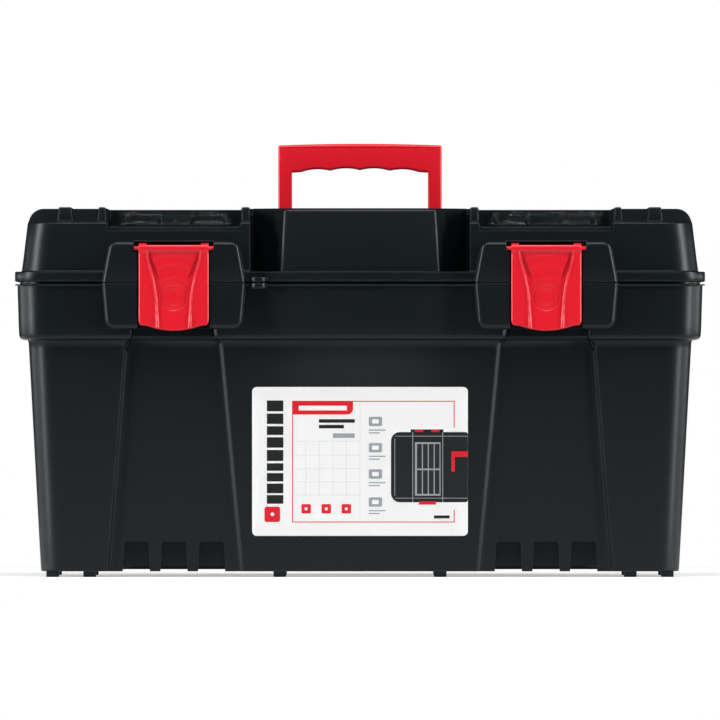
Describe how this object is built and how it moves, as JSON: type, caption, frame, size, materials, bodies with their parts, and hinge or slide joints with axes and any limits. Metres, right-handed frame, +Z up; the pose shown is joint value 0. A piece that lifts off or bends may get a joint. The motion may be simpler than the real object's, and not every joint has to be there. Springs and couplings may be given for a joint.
{
  "type": "toolbox with tray",
  "caption": "Moulded toolbox with a hinged lid, fold-down handle, two latches, two clear-lidded organisers and a lift-out tray.",
  "frame": {"origin": "centre of the footprint, on the floor under the feet", "axes": "+X to the right along the length, +Y to the back (hinge side), -Y to the front (latch side), +Z up"},
  "size_m": [0.597, 0.285, 0.3756],
  "materials": {
    "body_black": "moulded polypropylene, fine satin grain",
    "inner_black": "moulded polypropylene, satin",
    "trim_red": "moulded polypropylene, semi-gloss",
    "cover_clear": "clear moulded polystyrene, polished",
    "label_white": "printed film label, satin"
  },
  "bodies": {
    "base": {"base_floor": "body_black", "base_front_wall": "body_black", "base_front_collar": "body_black", "base_back_wall": "body_black", "base_side_left": "body_black", "base_side_right": "body_black", "front_label": "label_white", "hinge_pin_left": "trim_red", "hinge_pin_right": "trim_red"},
    "lid": {"lid_block": "body_black", "lid_block_top": "body_black", "lid_recess": "body_black", "lid_bay_left": "body_black", "lid_bay_right": "body_black", "lid_end_left": "body_black", "lid_end_right": "body_black", "latch_pin_left": "trim_red", "latch_pin_right": "trim_red", "organiser_insert_left": "inner_black", "organiser_insert_right": "inner_black", "organiser_dividers_left": "inner_black", "organiser_dividers_right": "inner_black"},
    "handle": {"handle": "trim_red"},
    "latch_left": {"latch_left": "trim_red"},
    "latch_right": {"latch_right": "trim_red"},
    "cover_left": {"organiser_cover_left": "cover_clear"},
    "cover_right": {"organiser_cover_right": "cover_clear"},
    "tray": {"tray_floor": "inner_black", "tray_front_wall": "inner_black", "tray_back_wall": "inner_black", "tray_end_left": "inner_black", "tray_end_right": "inner_black", "tray_spine": "inner_black", "tray_grip": "inner_black", "tray_dividers": "inner_black"}
  },
  "joints": [
    {"name": "lid_hinge", "type": "hinge", "parent": "base", "child": "lid", "pos_m": [0, 0.1353, 0.254], "axis": [-1, 0, 0], "range_deg": [0, 105]},
    {"name": "handle_fold", "type": "hinge", "parent": "lid", "child": "handle", "pos_m": [0, -0.014, 0.3], "axis": [-1, 0, 0], "range_deg": [0, 90]},
    {"name": "latch_left_swing", "type": "hinge", "parent": "lid", "child": "latch_left", "pos_m": [-0.1609, -0.1381, 0.2843], "axis": [-1, 0, 0], "range_deg": [0, 95]},
    {"name": "latch_right_swing", "type": "hinge", "parent": "lid", "child": "latch_right", "pos_m": [0.1609, -0.1381, 0.2843], "axis": [-1, 0, 0], "range_deg": [0, 95]},
    {"name": "cover_left_hinge", "type": "hinge", "parent": "lid", "child": "cover_left", "pos_m": [-0.1609, 0.098, 0.311], "axis": [-1, 0, 0], "range_deg": [0, 90]},
    {"name": "cover_right_hinge", "type": "hinge", "parent": "lid", "child": "cover_right", "pos_m": [0.1609, 0.098, 0.311], "axis": [-1, 0, 0], "range_deg": [0, 90]},
    {"name": "tray_lift", "type": "slide", "parent": "base", "child": "tray", "axis": [0, 0, 1], "range_m": [0, 0.015]}
  ]
}
